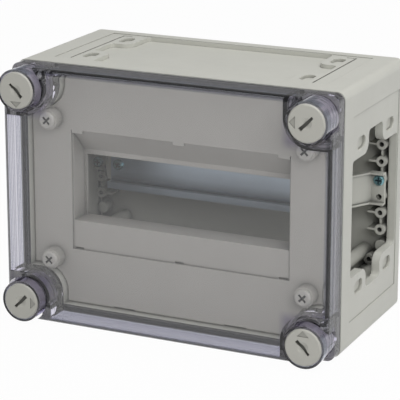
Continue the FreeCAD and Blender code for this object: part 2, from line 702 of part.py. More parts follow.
def make_cover():
    body = new_body("inner_cover")
    pad(body, "tray", "XZ_Plane", COVER_FRONT, COVER_EDGE, notched("-(cover_gap)"))
    edged(body, "Chamfer", "tray_edge", "cover_bevel", lies_in("Y", COVER_FRONT))
    inside = notched("-(cover_gap + cover_skirt)")
    pocket(body, "tray_inside", "XZ_Plane", COVER_INSIDE, COVER_EDGE, inside)

    strip = f"({RIM} + recess_depth)"
    frame = f"({RIM} + tunnel_depth)"
    strip_low = f"({WINDOW_LOW} - strip_drop)"
    lip = f"({WINDOW_HIGH} + hood_lip)"
    slope = f"((hood_top - {lip}) / ({frame} - {COVER_FRONT}))"
    knee = f"(hood_top - {slope} * ({strip} - {COVER_FRONT}))"

    def section(half, name, kind, corners):
        kind(body, name, "YZ_Plane", f"-({half})", half, outline(corners))

    skin = "window_wall"
    section(
        f"recess_half + {skin}",
        "recess_wall",
        pad,
        [
            (COVER_FRONT, f"{strip_low} - {skin}"),
            (f"{strip} + {skin}", f"{strip_low} - {skin}"),
            (f"{strip} + {skin}", f"{knee} + {skin}"),
            (COVER_FRONT, f"hood_top + {skin}"),
        ],
    )
    section(
        f"tunnel_half + {skin}",
        "tunnel_wall",
        pad,
        [
            (COVER_FRONT, f"{WINDOW_LOW} - {skin}"),
            (f"{frame} + {skin}", f"{WINDOW_LOW} - {skin}"),
            (f"{frame} + {skin}", f"{lip} + {skin}"),
            (COVER_FRONT, f"hood_top + {skin}"),
        ],
    )
    section(
        "recess_half",
        "recess",
        pocket,
        [
            (COVER_FRONT, strip_low),
            (strip, strip_low),
            (strip, knee),
            (COVER_FRONT, "hood_top"),
        ],
    )
    section(
        "tunnel_half",
        "tunnel",
        pocket,
        [
            (COVER_FRONT, WINDOW_LOW),
            (frame, WINDOW_LOW),
            (frame, lip),
            (COVER_FRONT, "hood_top"),
        ],
    )
    window = rectangle("-(window_half)", "window_half", WINDOW_LOW, WINDOW_HIGH)
    pocket(body, "window", "XZ_Plane", frame, f"{frame} + {skin}", window)

    pads, bosses, holes = [], [], []
    for sx, sz in CORNERS:
        x, z = times(sx, "pillar_x"), f"{MIDDLE} + {times(sz, 'pillar_z')}"
        pads.append(circle(x, z, "screw_pad"))
        bosses.append(circle(x, z, "screw_boss"))
        holes.append(circle(x, z, "pillar_bore"))
    pad(body, "screw_pads", "XZ_Plane", f"{COVER_FRONT} - screw_pad_rise", COVER_FRONT, *pads)
    pad(body, "screw_bosses", "XZ_Plane", COVER_INSIDE, COVER_EDGE, *bosses)
    pocket(body, "screw_holes", "XZ_Plane", f"{COVER_FRONT} - screw_pad_rise", COVER_EDGE, *holes)

    low_edge = "(rim_width + cover_gap)"
    notches = []
    for side in (-1, 1):
        x = times(side, "notch_place")
        span = (f"({x}) - notch_width / 2", f"({x}) + notch_width / 2")
        notches.append(rectangle(*span, low_edge, f"{low_edge} + notch_depth"))
    pocket(body, "pry_notches", "XZ_Plane", COVER_FRONT, COVER_INSIDE, *notches)
    hooks, tabs = [], []
    for side in (-1, 0, 1):
        x = f"({side}) * hook_place"
        span = (f"({x}) - hook_width / 2", f"({x}) + hook_width / 2")
        hooks.append(rectangle(*span, strip_low, f"{strip_low} + hook_height"))
        span = (f"({x}) - tab_width / 2", f"({x}) + tab_width / 2")
        tabs.append(rectangle(*span, "hood_top - tab_height", "hood_top + tab_height"))
    pocket(body, "label_hooks", "XZ_Plane", strip, f"{strip} + {skin}", *hooks)
    pad(body, "hood_tabs", "XZ_Plane", COVER_FRONT, f"{COVER_FRONT} + tab_thick", *tabs)
    return body


# The rail and what carries it


def make_rail():
    body = new_body("din_rail")
    front, sheet_y = f"({RIM} + rail_front)", "rail_sheet"
    corners = []
    for side in (1, -1):
        lip = f"{MIDDLE} + {times(side, 'rail_width / 2')}"
        step_out = f"{MIDDLE} + {times(side, 'rail_inside / 2 + rail_sheet')}"
        step_in = f"{MIDDLE} + {times(side, 'rail_inside / 2')}"
        half = [
            (front, step_in),
            (front, lip),
            (f"{front} + {sheet_y}", lip),
            (f"{front} + {sheet_y}", step_out),
            (RAIL_BACK, step_out),
        ]
        web = (f"{RAIL_BACK} - {sheet_y}", step_in)
        corners += [web] + half if side > 0 else half[::-1] + [web]
    pad(body, "section", "YZ_Plane", "-(rail_length / 2)", "rail_length / 2", outline(corners))
    holes = [circle(times(s, "rail_screw_x"), MIDDLE, "rail_hole") for s in (-1, 1)]
    pocket(body, "holes", "XZ_Plane", f"{RAIL_BACK} - {sheet_y}", RAIL_BACK, *holes)
    return body


def make_bracket(label, side):
    """An offset bracket: a foot on two screw bosses, a slanting arm and the seat of the rail."""
    body = new_body(label)

    foot, outer = f"({BOSS_FACE} - bracket_thick)", "boss_x + boss_radius"
    seat_back = f"({RAIL_BACK} + bracket_thick)"

    def profile(*spots):
        return outline([(times(side, x), y) for x, y in spots])

    plate = profile(
        (outer, foot),
        (outer, BOSS_FACE),
        ("foot_inner", BOSS_FACE),
        ("seat_outer - bracket_thick", seat_back),
        ("seat_inner", seat_back),
        ("seat_inner", RAIL_BACK),
        ("seat_outer", RAIL_BACK),
        ("foot_inner", foot),
    )
    edge = profile(
        (outer, f"{foot} - bracket_lip"),
        (outer, foot),
        ("foot_inner", foot),
        ("seat_outer", RAIL_BACK),
        ("seat_outer", f"{RAIL_BACK} - bracket_lip"),
        ("foot_inner", f"{foot} - bracket_lip"),
    )
    low, high = f"{MIDDLE} - bracket_height / 2", f"{MIDDLE} + bracket_height / 2"
    pad(body, "plate", "XY_Plane", low, high, plate)
    pad(body, "lower_edge", "XY_Plane", low, f"{low} + bracket_edge", edge)
    pad(body, "upper_edge", "XY_Plane", f"{high} - bracket_edge", high, edge)
    holes = []
    for step in (-1, 1):
        z = f"{MIDDLE} + {times(step, 'boss_pitch / 2')}"
        holes.append(circle(times(side, "boss_x"), z, "bracket_hole"))
    pocket(body, "foot_holes", "XZ_Plane", f"{BOSS_FACE} - bracket_thick", BOSS_FACE, *holes)
    hole = circle(times(side, "rail_screw_x"), MIDDLE, "seat_hole")
    pocket(body, "seat_hole", "XZ_Plane", RAIL_BACK, f"{RAIL_BACK} + bracket_thick", hole)
    return body


# The latches and screws, each made about its own axis and then placed


def place(body, x, y, z, turn=0.0):
    for axis, text in zip("xyz", (x, y, z)):
        body.setExpression(f".Placement.Base.{axis}", linked(text))
    body.Placement.Rotation = FreeCAD.Rotation(V(0, 1, 0), turn)
    doc.recompute()


def make_latch(label, sx, sz, turn):
    """A latch made with its axis on Y, its face at the lowest Y and the lid's rim at zero."""
    body = new_body(label)
    face = "-(depth - base_depth)"
    knob_back = "-(corner_height + knob_lift)"
    lug_face = "tower_plate + lug_slack"
    lug_end = f"{lug_face} + lug_thick"
    pad(body, "knob", "XZ_Plane", face, knob_back, circle(ZERO, ZERO, "knob_radius"))
    edged(body, "Chamfer", "knob_edge", "knob_bevel", lies_in("Y", face))
    pad(body, "stem", "XZ_Plane", f"{knob_back} - knob_lift", lug_end, circle(ZERO, ZERO, "stem_radius"))
    lugs = slanted(ZERO, ZERO, "lug_reach", "lug_width / 2", -1)
    pad(body, "lugs", "XZ_Plane", lug_face, lug_end, lugs)
    ball = body.newObject("PartDesign::SubtractiveSphere", "dimple")
    ball.setExpression("Radius", linked("dimple_radius"))
    depth_text = f"{face} + dimple_depth - dimple_radius"
    ball.setExpression(".Placement.Base.y", linked(depth_text))
    body.Tip = ball
    doc.recompute()
    cut = slanted(ZERO, ZERO, "slot_half", "slot_width / 2", -1)
    pocket(body, "slot", "XZ_Plane", face, f"{face} + slot_depth", cut)
    arrow = outline(
        [
            ("-(arrow_half)", "-(arrow_place - arrow_length / 2)"),
            (ZERO, "-(arrow_place + arrow_length / 2)"),
            ("arrow_half", "-(arrow_place - arrow_length / 2)"),
        ]
    )
    pocket(body, "arrow", "XZ_Plane", face, f"{face} + arrow_depth", arrow)
    place(body, times(sx, "latch_x"), RIM, f"{MIDDLE} + {times(sz, 'latch_z')}", turn)
    return body


def make_screw(label, head, thick, shank, long, x, y, z, turn=0.0):
    """A pan head screw along +Y, with the seat of its head at zero and a cross recess."""
    body = new_body(label)
    top = f"-({thick})"
    pad(body, "head", "XZ_Plane", top, ZERO, circle(ZERO, ZERO, head))
    edged(body, "Chamfer", "head_edge", "head_bevel", lies_in("Y", top))
    pad(body, "shank", "XZ_Plane", f"{top} / 2", long, circle(ZERO, ZERO, shank))
    arm, half = f"{head} * cross_arm", f"{head} * cross_half"
    spots = [
        (half, half),
        (half, arm),
        (f"-({half})", arm),
        (f"-({half})", half),
        (f"-({arm})", half),
        (f"-({arm})", f"-({half})"),
        (f"-({half})", f"-({half})"),
        (f"-({half})", f"-({arm})"),
        (half, f"-({arm})"),
        (half, f"-({half})"),
        (arm, f"-({half})"),
        (arm, half),
    ]
    pocket(body, "cross", "XZ_Plane", top, f"{top} + cross_deep", outline(spots))
    place(body, x, y, z, turn)
    return body


base_box = make_base()
pieces = [base_box]
pieces.append(make_plate("left_closing_plate", "YZ_Plane", "-(width / 2)", -1, "side_reach"))
pieces.append(make_plate("top_closing_plate", "XY_Plane", "height", 1, "long_reach"))
pieces.append(make_plate("bottom_closing_plate", "XY_Plane", ZERO, -1, "long_reach"))
pieces.append(make_seal())
pieces.append(make_lid())
pieces.append(make_cover())
pieces.append(make_rail())

LATCHES = (
    ("top_left", -1, 1, 0),
    ("top_right", 1, 1, 90),
    ("bottom_right", 1, -1, 180),
    ("bottom_left", -1, -1, 270),
)
for corner, sx, sz, turn in LATCHES:
    pieces.append(make_latch(f"latch_{corner}", sx, sz, turn))

for corner, (sx, sz) in zip(("top_left", "top_right", "bottom_left", "bottom_right"), CORNERS):
    seat = f"{COVER_FRONT} - screw_pad_rise"
    spot = (times(sx, "pillar_x"), seat, f"{MIDDLE} + {times(sz, 'pillar_z')}")
    shape = ("cover_head", "cover_head_thick", "cover_shank", "cover_shank_long")
    pieces.append(make_screw(f"cover_screw_{corner}", *shape, *spot, 45.0))

SMALL = ("small_head", "small_head_thick", "small_shank", "small_shank_long")
for name, side in (("left", -1), ("right", 1)):
    pieces.append(make_bracket(f"rail_bracket_{name}", side))
    z = f"{MIDDLE} + {times(side, 'boss_pitch / 2')}"
    spot = (times(side, "boss_x"), f"{BOSS_FACE} - bracket_thick", z)
    pieces.append(make_screw(f"bracket_screw_{name}", *SMALL, *spot))
    spot = (times(side, "rail_screw_x"), f"{RAIL_BACK} - rail_sheet", MIDDLE)
    pieces.append(make_screw(f"rail_screw_{name}", *SMALL, *spot, 30.0))

doc.recompute()
for made in doc.Objects:
    if "Invalid" in made.State or "Error" in made.State:
        raise RuntimeError(f"{made.Label} failed: {made.State}")
for piece in pieces:
    shape = piece.Shape
    if shape.isNull() or not shape.isValid() or len(shape.Solids) != 1:
        raise RuntimeError(f"{piece.Label} isn't one valid solid")
    shape.exportStep(f"parts/{piece.Label}.step")
    box = shape.BoundBox
    ends = ((box.XMin, box.XMax), (box.YMin, box.YMax), (box.ZMin, box.ZMax))
    spans = " ".join(f"{low:.1f}..{high:.1f}" for low, high in ends)
    print(f"{piece.Label}: {shape.Volume / 1000:.2f} cm3, box {spans}")
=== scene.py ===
# %% [markdown]
# # A moulded enclosure with a clear lid
#
# The object is a grey plastic box for modular devices. A clear lid is held by four
# quarter-turn latches, and behind it lie a screwed cover with a hooded window and a plated
# steel rail. The shapes of all its pieces are exact solids that come in ready made. What is
# left for this lesson is what the eye reads as material: grain, gloss, plating and glassy
# plastic, and the light that shows them.

# %% Load the solids
import json
import math

import bmesh
import bpy
from mathutils import Matrix, Vector


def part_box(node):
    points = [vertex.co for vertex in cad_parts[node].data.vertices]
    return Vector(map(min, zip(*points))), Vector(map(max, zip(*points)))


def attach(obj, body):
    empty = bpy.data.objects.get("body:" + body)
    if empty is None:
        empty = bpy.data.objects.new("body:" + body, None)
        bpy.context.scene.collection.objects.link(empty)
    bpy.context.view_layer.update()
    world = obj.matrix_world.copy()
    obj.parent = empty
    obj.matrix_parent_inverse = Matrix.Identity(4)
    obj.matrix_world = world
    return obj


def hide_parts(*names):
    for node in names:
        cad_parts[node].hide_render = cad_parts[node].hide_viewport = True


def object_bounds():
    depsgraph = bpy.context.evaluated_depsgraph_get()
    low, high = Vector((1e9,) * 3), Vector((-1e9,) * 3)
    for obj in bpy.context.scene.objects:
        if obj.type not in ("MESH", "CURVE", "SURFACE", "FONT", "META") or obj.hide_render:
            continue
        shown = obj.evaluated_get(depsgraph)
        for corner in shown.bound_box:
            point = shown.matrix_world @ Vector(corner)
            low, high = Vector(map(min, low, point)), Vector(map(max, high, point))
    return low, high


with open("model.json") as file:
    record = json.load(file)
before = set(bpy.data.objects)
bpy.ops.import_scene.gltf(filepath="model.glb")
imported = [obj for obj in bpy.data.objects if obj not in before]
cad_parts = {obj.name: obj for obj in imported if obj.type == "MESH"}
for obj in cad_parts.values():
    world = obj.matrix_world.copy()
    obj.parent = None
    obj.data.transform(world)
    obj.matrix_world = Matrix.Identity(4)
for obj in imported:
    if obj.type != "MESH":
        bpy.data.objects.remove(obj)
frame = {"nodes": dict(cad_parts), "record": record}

solid_low, solid_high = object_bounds()
print("solids", len(frame["nodes"]), "size in mm", [round(1000 * s) for s in solid_high - solid_low])

# The solids come in with plain materials, whose names the finishes below take over.
for material in bpy.data.materials:
    material.name = f"plain_{material.name}"

# %% [markdown]
# ## Camera
#
# A product photograph of a box is often taken with a long lens from a little above one corner.
# The camera below is described the way a photographer would: where it stands, how far it is
# turned and tipped, its focal length, and a little downward shift of the lens, which keeps the
# upright edges of a box closer to parallel. A rotation matrix is built from the angles, because
# a camera looks along its own -Z and a chain of turns is easy to follow that way.

# %% Place the camera
CAMERA_PLACE = Vector((0.5678, -1.2157, 0.4862))
CAMERA_TURN = 25.232
CAMERA_TIP = 15.197
FOCAL_LENGTH = 174.61
SENSOR_WIDTH = 36.0
LENS_SHIFT = (0.0098, -0.12)
NEAREST = 0.01
FARTHEST = 50.0


def make_camera():
    data = bpy.data.cameras.new("camera")
    data.lens = FOCAL_LENGTH
    data.sensor_width = SENSOR_WIDTH
    data.clip_start = NEAREST
    data.clip_end = FARTHEST
    data.shift_x, data.shift_y = LENS_SHIFT
    camera = bpy.data.objects.new("camera", data)
    bpy.context.collection.objects.link(camera)
    level = Matrix.Rotation(math.radians(CAMERA_TURN), 4, "Z")
    tipped = Matrix.Rotation(math.radians(90.0 - CAMERA_TIP), 4, "X")
    camera.matrix_world = Matrix.Translation(CAMERA_PLACE) @ level @ tipped
    bpy.context.scene.camera = camera
    return camera


camera = make_camera()
line_of_sight = camera.matrix_world.to_quaternion() @ Vector((0, 0, -1))
print("camera looks along", [round(v, 3) for v in line_of_sight])

# %% [markdown]
# ## Shader maths as plain expressions
#
# A procedural finish is a formula: grain plus a little mottling, with painted shade in the
# hollows. Written as nodes it takes a screenful of boxes. The class below wraps a node's output
# socket, so that ordinary Python operators add the Math nodes, and `1 - mask` reads as it would
# on paper.


# %% Wrap sockets
class Wire:
    """An output socket that can be used in arithmetic."""

    def __init__(self, finish, socket):
        self.finish = finish
        self.socket = socket

    def _maths(self, operation, first, second):
        return self.finish.node("Math", {"operation": operation}, first, second)

    def __add__(self, other):
        return self._maths("ADD", self, other)

    def __radd__(self, other):
        return self._maths("ADD", other, self)

    def __sub__(self, other):
        return self._maths("SUBTRACT", self, other)

    def __rsub__(self, other):
        return self._maths("SUBTRACT", other, self)

    def __mul__(self, other):
        return self._maths("MULTIPLY", self, other)

    def __rmul__(self, other):
        return self._maths("MULTIPLY", other, self)

    def __pow__(self, other):
        return self._maths("POWER", self, other)

    def larger(self, other):
        return self._maths("MAXIMUM", self, other)

    def size(self):
        return self._maths("ABSOLUTE", self, 0.0)


print("methods of a wire", [name for name in vars(Wire) if not name.startswith("_")])

# %% [markdown]
# Every node that takes values comes from one method. It gets the node's type, then its
# settings, which have to be made before the sockets are filled, because a setting can change
# which sockets there are. Last come the values or wires of its inputs, by order or by name.
# A node that only reads something, such as a coordinate or the kind of ray, has a shorter one.


# %% Build finishes
class Finish:
    """A material in the making, with one Principled shader."""

    def __init__(self, name):
        self.material = bpy.data.materials.new(name)
        self.material.use_nodes = True
        self.tree = self.material.node_tree
        self.shader = self.tree.nodes["Principled BSDF"]
        self.output = self.tree.nodes["Material Output"]

    def node(self, kind, settings, *ordered, **named):
        made = self.tree.nodes.new(f"ShaderNode{kind}")
        for name, value in settings.items():
            setattr(made, name, value)
        for key, value in [*enumerate(ordered), *named.items()]:
            name = key if isinstance(key, int) else key.replace("_", " ")
            self._fill(made.inputs[name], value)
        live = [socket for socket in made.outputs if socket.enabled]
        return Wire(self, live[0])

    def reading(self, kind, output):
        return Wire(self, self.tree.nodes.new(f"ShaderNode{kind}").outputs[output])

    def _fill(self, socket, value):
        if isinstance(value, Wire):
            self.tree.links.new(value.socket, socket)
        elif socket.type == "RGBA" and len(value) == 3:
            socket.default_value = (*value, 1.0)
        else:
            socket.default_value = value

    def set(self, **sockets):
        """Fills sockets of the Principled shader, with underscores for spaces."""
        for name, value in sockets.items():
            self._fill(self.shader.inputs[name.replace("_", " ")], value)

    def place(self):
        """The point on the object, in metres."""
        return self.reading("TexCoord", "Object")

    def along(self, axis):
        """One coordinate of that point."""
        split = self.tree.nodes.new("ShaderNodeSeparateXYZ")
        self._fill(split.inputs[0], self.place())
        return Wire(self, split.outputs[axis])

    def noise(self, scale, detail=2.0, stretch=(1.0, 1.0, 1.0)):
        where = self.node("Mapping", {}, Vector=self.place(), Scale=stretch)
        return self.node("TexNoise", {}, Vector=where, Scale=scale, Detail=detail)

    def ramp(self, value, low, high):
        """Rises from 0 to 1 while the value goes from low to high."""
        return self.node("MapRange", {}, Value=value, From_Min=low, From_Max=high)

    def mix(self, factor, one, other):
        """One colour turning into another as the factor goes from 0 to 1."""
        made = self.tree.nodes.new("ShaderNodeMix")
        made.data_type = "RGBA"
        for place, value in ((0, factor), (6, one), (7, other)):
            self._fill(made.inputs[place], value)
        return Wire(self, made.outputs[2])

    def give_way(self, share, other):
        """Lets another shader take the place of the Principled one, by a share from 0 to 1."""
        both = self.node("MixShader", {}, share, Wire(self, self.shader.outputs[0]), other)
        self.tree.links.new(both.socket, self.output.inputs["Surface"])


print("methods of a finish", [name for name in vars(Finish) if not name.startswith("_")])

# %% [markdown]
# ## Colours
#
# Colours are easiest to choose as the eye sees them, on a scale of 0 to 255. Shaders work in
# linear light, so a small function converts them once.


# %% Colours as seen
def seen(red, green, blue):
    """A colour as an eye reads it on a screen, in the linear light of a shader."""

    def straighten(value):
        share = value / 255.0
        return share / 12.92 if share <= 0.04045 else ((share + 0.055) / 1.055) ** 2.4

    return tuple(straighten(value) for value in (red, green, blue))


def shade(colour, share):
    """The same colour, lighter or darker."""
    return tuple(c * share for c in colour)


print("mid grey", [round(v, 3) for v in seen(128, 128, 128)])

# %% [markdown]
# ## Softened edges
#
# No moulded edge is a knife edge. A Bevel node bends the shading normal near an edge, which
# catches a thin line of light there without adding a single triangle to the solid. It feeds
# the Bump node's own normal, so grain and softened edge work together.

# %% Grain and soft edges
BEVEL_SAMPLES = 6


def surface(finish, height, strength, depth, edge):
    """Fills the shader's normal with grain of a depth in metres on top of rounded edges."""
    soft = finish.node("Bevel", {"samples": BEVEL_SAMPLES}, Radius=edge)
    made = finish.node("Bump", {}, Strength=strength, Distance=depth, Height=height, Normal=soft)
    finish.set(Normal=made)


print("a softened edge takes", BEVEL_SAMPLES, "samples")

# %% [markdown]
# ## Painted shade in hollows
#
# Grooves and inner corners of the box get painted shade. An Ambient Occlusion node asks
# how open the surface lies within a few millimetres, and the colour goes down where it isn't.
# With a wider reach the same node finds the sheltered places and paints a deeper shade there:
# under the hood of the cover, and between the screw bosses inside the box. The outer walls keep
# their plain colour, so a mask by the distance to them keeps that painted shade inside.

# %% Find places for painted shade
MIDDLE_HEIGHT = 0.09375
OPEN_SAMPLES = 8
SHELTER_SHADE_RANGE = (0.3, 0.9)
WALL_INSIDE = (-0.0055, -0.0045)


def openness(finish, reach):
    """Is 1 where the surface lies open, and falls where it faces other parts of its own piece."""
    settings = {"samples": OPEN_SAMPLES, "only_local": True}
    return finish.node("AmbientOcclusion", settings, Distance=reach)


def behind_walls(finish):
    """Is 1 inside the box, behind the thickness of its outer walls."""
    off_x = finish.along("X").size() - solid_high.x
    off_z = (finish.along("Z") - MIDDLE_HEIGHT).size() - MIDDLE_HEIGHT
    return 1 - finish.ramp(off_x.larger(off_z), *WALL_INSIDE)


# Painted shade in sheltered places inside the box, deeper where the surface lies less open.
def sheltered_shade(finish, reach):
    return (1 - finish.ramp(openness(finish, reach), *SHELTER_SHADE_RANGE)) * behind_walls(finish)


print("walls end", round(-1000 * WALL_INSIDE[1], 1), "mm inside the box")

# %% [markdown]
# ## Painted shade in engraved marks
#
# The slots and arrows of the latches and the crosses of the screws are too shallow for that
# node, and they read darker than their depth alone makes them, so their shade is painted in.
# Here the depth below the face says how dark the painted shade gets. All four latches, and all
# four screws, lie at the same distance from the middle, so taking the size of both coordinates
# folds them onto one axis.

# %% Find engraved marks for painted shade
LATCH_AXIS = (0.1095, 0.078)
SCREW_AXIS = (0.099, 0.052)
LATCH_RINGS = ((0.0, 0.0067, 0.0009, 0.0017), (0.0068, 0.0126, 0.0001, 0.0014))
SCREW_RINGS = ((0.0, 0.0042, 0.0002, 0.001),)
RING_BLUR = 0.0003


def engraved(finish, solid_name, axis, rings):
    """Rises to 1 with the depth below the front face, in rings round each of four axes.

    A ring is its inner and outer radius, and the depths at which the mark starts and is full.
    """
    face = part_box(solid_name)[0][1]
    off_x = finish.along("X").size() - axis[0]
    off_z = (finish.along("Z") - MIDDLE_HEIGHT).size() - axis[1]
    away = (off_x * off_x + off_z * off_z) ** 0.5
    total = 0.0
    for inner, outer, start, full in rings:
        past_inner = finish.ramp(away, inner - RING_BLUR, inner)
        past_outer = finish.ramp(away, outer, outer + RING_BLUR)
        deep = finish.ramp(finish.along("Y") - face, start, full)
        total = past_inner * (1 - past_outer) * deep + total
    return total


print("rings of a latch", len(LATCH_RINGS), "and of a screw", len(SCREW_RINGS))

# %% [markdown]
# ## Moulded plastic
#
# The base, the cover and the latches are of the same family: a light warm grey with the fine
# satin grain that a spark-eroded mould leaves. Three scales of noise make it. The widest only
# drifts the colour by a few percent, as thick and thin walls do. The middle one breaks up the
# gloss, and the finest is the grain itself, a few tenths of a millimetre across.

# %% Moulded plastic
COLOUR_DRIFT = 0.05
MOTTLE_SCALE = 28.0
GLOSS_SCALE = 160.0
GLOSS_DRIFT = 0.12
SATIN = 0.42
GRAIN_SCALE = 2600.0
GRAIN_STRENGTH = 0.25
GRAIN_DEPTH = 0.00006
MOULDED_EDGE = 0.0006
# Painted shade: grooves and creases darken towards this colour.
CREASE_SHADE = seen(70, 68, 62)
CREASE_SHADE_REACH = 0.004
CREASE_SHADE_RANGE = (0.2, 0.75)
# Painted shade in the engraved slots and arrows of the latches and the crosses of the screws.
LATCH_RECESS_SHADE = seen(74, 74, 68)
SCREW_RECESS_SHADE = seen(34, 34, 30)
# Reach and brightness of the deeper painted shade under the hood and between the bosses.
UNDER_HOOD = (0.03, 0.4)
ROUND_BOSSES = (0.012, 0.3)


def moulded(name, colour, marks=None, recess_shade_colour=None, shelter_shade=None):
    finish = Finish(name)
    mottle = finish.noise(MOTTLE_SCALE, detail=3.0)
    unshaded_colour = finish.mix(mottle, shade(colour, 1.0 - COLOUR_DRIFT), shade(colour, 1.0 + COLOUR_DRIFT))
    # Painted shade in grooves and creases.
    crease_shade = finish.ramp(openness(finish, CREASE_SHADE_REACH), *CREASE_SHADE_RANGE)
    shaded_colour = finish.mix(crease_shade, CREASE_SHADE, unshaded_colour)
    # Deeper painted shade in sheltered places.
    if shelter_shade:
        reach, share = shelter_shade
        shaded_colour = finish.mix(sheltered_shade(finish, reach), shaded_colour, shade(colour, share))
    # Painted shade in the engraved marks, by their depth.
    if marks:
        shaded_colour = finish.mix(engraved(finish, *marks), shaded_colour, recess_shade_colour)
    patchy = finish.noise(GLOSS_SCALE)
    finish.set(Base_Color=shaded_colour, Roughness=SATIN + GLOSS_DRIFT * (patchy - 0.5))
    fine = finish.noise(GRAIN_SCALE, detail=1.0)
    surface(finish, fine, GRAIN_STRENGTH, GRAIN_DEPTH, MOULDED_EDGE)


moulded("grey_moulding", seen(198, 198, 190), shelter_shade=ROUND_BOSSES)
moulded("cover_moulding", seen(196, 193, 186), shelter_shade=UNDER_HOOD)
latch_marks = ("latch_top_left", LATCH_AXIS, LATCH_RINGS)
moulded("latch_moulding", seen(191, 190, 182), latch_marks, LATCH_RECESS_SHADE)
screw_marks = ("cover_screw_top_left", SCREW_AXIS, SCREW_RINGS)
moulded("screw_moulding", seen(206, 203, 196), screw_marks, SCREW_RECESS_SHADE)
print("nodes in the grey moulding", len(bpy.data.materials["grey_moulding"].node_tree.nodes))

# %% [markdown]
# ## Clear lid
#
# The lid is polished clear plastic, 3 mm thick, so it is real glass to the camera. Direct light
# from a lamp can't find its way through refracting walls in a path tracer, which would leave
# everything behind the lid dark. The Light Path node tells shadow rays and diffuse rays apart,
# and for both the lid is a plain window. If only the shadow rays passed, the light that diffuse
# rays find behind the glass would be counted a second time, as a milky haze over the inside.
#
# Looked at on edge, such plastic shows a violet cast, because light crosses much more of it
# there. The front pane is nearly free of it, so the tint grows from the pane towards the side
# walls and the corners. The lower wall and the walls near the front edge get a darker painted
# shade. An outer wall seen at a grazing angle goes slate grey near the front, where its rounded
# edge traps the light; that slate is painted shade, and a Layer Weight node knows that angle.
#
# Such walls widen towards the rim in small steps, and each step shows as a thin dark line that
# runs right round the lid. The solid has smooth walls, so its tint draws these lines as painted
# shade; inside the slate they show as lighter lines of painted highlight. The inner edge of the
# mouth gets a dark line of painted shade too.

# %% Clear lid
LID_BEND = 1.5
LID_SHINE = 0.3
LID_RIM = -0.0435
LID_WALL = 0.003
LID_MOUTH = 0.0069
LID_FOOT = 0.004
LID_GLOSS = 0.01
LID_HAZE = 0.01
WALL_BLUR = 0.001
FOOT_BLUR = 0.0005
MOUTH_LINE = (0.0002, 0.0006)
FRONT_EDGE = (0.004, 0.009)
SLATE_DEPTH = (0.015, 0.017)
GRAZING = (0.5, 0.68)
OUTER_SKIN = (0.0003, 0.0006)
CORNER_X = (0.088, 0.094)
CORNER_Z = (0.056, 0.062)
STEPS = (0.0066, 0.0122, 0.0165, 0.0222, 0.0262)
STEP_LINE = (0.0004, 0.0007)
PANE_TINT = seen(252, 252, 252)
WALL_TINT = seen(207, 206, 217)
# Painted shade of the lower wall.
LOWER_WALL_SHADE = seen(172, 172, 188)
# Painted shade near the front edge of the walls.
FRONT_EDGE_SHADE = seen(144, 150, 172)
# Painted slate shade of outer walls seen at a grazing angle.
SLATE_SHADE = seen(90, 101, 122)
FOOT_TINT = seen(206, 207, 218)
# A dark line of painted shade at the inner edge of the mouth.
MOUTH_SHADE = seen(86, 94, 118)
CORNER_TINT = seen(208, 203, 225)
# Lines of painted shade at the steps of the walls.
STEP_SHADE = seen(122, 124, 142)
SHADOW_TINT = seen(235, 235, 237)


def lid_tint(finish, low, high):
    """The colour of the lid, from the pane to the walls, the foot and the corners, with painted
    shade and painted highlight lines.
    """
    middle = (low + high) / 2.0
    half = (high - low) / 2.0
    off_x = (finish.along("X") - middle.x).size()
    off_z = (finish.along("Z") - middle.z).size()
    inwards = half.z - (off_x - (half.x - half.z)).larger(off_z)
    before_front = finish.along("Y") - low.y
    wall = 1 - finish.ramp(inwards, LID_WALL, LID_WALL + WALL_BLUR)
    # Painted shade on the lower wall.
    lower_edge = low.z + LID_WALL
    lower = 1 - finish.ramp(finish.along("Z"), lower_edge, lower_edge + WALL_BLUR)
    foot_edge = LID_RIM - LID_FOOT
    foot = finish.ramp(finish.along("Y"), foot_edge - FOOT_BLUR, foot_edge)
    corner = finish.ramp(off_x, *CORNER_X) * finish.ramp(off_z, *CORNER_Z)
    # Painted shade near the front edge of the walls.
    edge = wall * (1 - finish.ramp(before_front, *FRONT_EDGE))
    # A dark line of painted shade at the inner edge of the mouth.
    mouth = foot * (1 - finish.ramp((inwards - LID_MOUTH).size(), *MOUTH_LINE))
    # Lines of painted shade at the steps; in the slate they leave lighter lines, a painted
    # highlight.
    lines = 0.0
    for step in STEPS:
        lines = 1 - finish.ramp((before_front - step).size(), *STEP_LINE) + lines
    # Painted slate shade where an outer wall is seen at a grazing angle.
    grazing = finish.ramp(finish.reading("LayerWeight", "Facing"), *GRAZING)
    outer = 1 - finish.ramp(inwards, *OUTER_SKIN)
    slate = outer * grazing * (1 - finish.ramp(before_front, *SLATE_DEPTH)) * (1 - lines)
    tint = finish.mix(wall, PANE_TINT, finish.mix(lower, WALL_TINT, LOWER_WALL_SHADE))
    for share, colour in (
        (foot, FOOT_TINT),
        (corner, CORNER_TINT),
        (edge, FRONT_EDGE_SHADE),
        (mouth, MOUTH_SHADE),
        (slate, SLATE_SHADE),
        (wall * lines * (1 - outer * grazing), STEP_SHADE),
    ):
        tint = finish.mix(share, tint, colour)
    return tint


def clear_plastic(name, solid_name):
    finish = Finish(name)
    low, high = (Vector(corner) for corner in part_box(solid_name))
    haze = finish.noise(MOTTLE_SCALE)
    finish.set(Base_Color=lid_tint(finish, low, high), Roughness=LID_GLOSS + LID_HAZE * haze)
    finish.set(IOR=LID_BEND, Transmission_Weight=1.0, Specular_IOR_Level=LID_SHINE)
    shadow_ray = finish.reading("LightPath", "Is Shadow Ray")
    diffuse_ray = finish.reading("LightPath", "Is Diffuse Ray")
    window = finish.node("BsdfTransparent", {}, Color=SHADOW_TINT)
    finish.give_way(shadow_ray.larger(diffuse_ray), window)


clear_plastic("clear_moulding", "lid")
print("lid bends light by", LID_BEND, "and has", len(STEPS), "steps")

